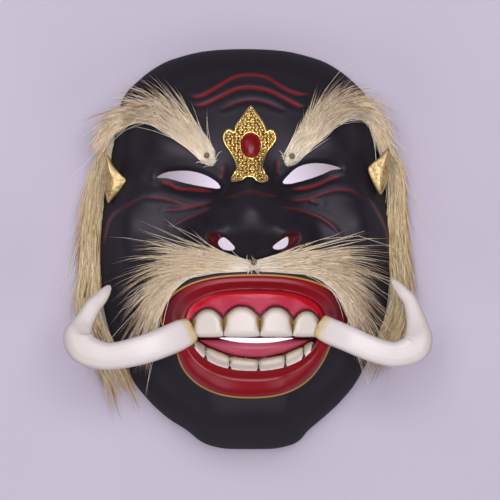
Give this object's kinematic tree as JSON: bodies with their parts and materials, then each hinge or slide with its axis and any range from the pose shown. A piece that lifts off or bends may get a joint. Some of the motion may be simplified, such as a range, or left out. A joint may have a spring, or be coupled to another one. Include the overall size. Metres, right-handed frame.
{
  "type": "barong mask",
  "caption": "Carved wooden dance mask of a fanged demon face with hide-and-hair brows, moustache and side locks, curled tusks, gilded ears and a gilt brow jewel.",
  "frame": {"origin": "middle of the whole outline, seen from the front, on the plane of the flat back rim", "axes": "+Z out of the face, +Y from the chin to the crown, +X to the right of the face as it is looked at"},
  "size_m": [0.1934, 0.2131, 0.0755],
  "materials": {
    "black_paint": "satin black paint over carved wood, with red and white painted mouth",
    "tusk_white": "smooth ivory-white paint",
    "gilding": "gold leaf paint",
    "jewel_gold": "beaded gilt metal",
    "red_stone": "polished deep red cabochon",
    "goat_hair": "long pale goat hair on a strip of hide",
    "peg_wood": "small plain wooden peg"
  },
  "bodies": {
    "root": {"face_shell": "black_paint", "tusk_left": "tusk_white", "tusk_right": "tusk_white", "ear_left": "gilding", "ear_right": "gilding", "brow_left": "goat_hair", "brow_right": "goat_hair", "moustache_left": "goat_hair", "moustache_right": "goat_hair", "side_lock_left": "goat_hair", "side_lock_right": "goat_hair", "brow_jewel": "jewel_gold", "jewel_stone": "red_stone", "brow_peg_left": "peg_wood", "brow_peg_right": "peg_wood", "moustache_peg": "peg_wood"}
  },
  "joints": []
}
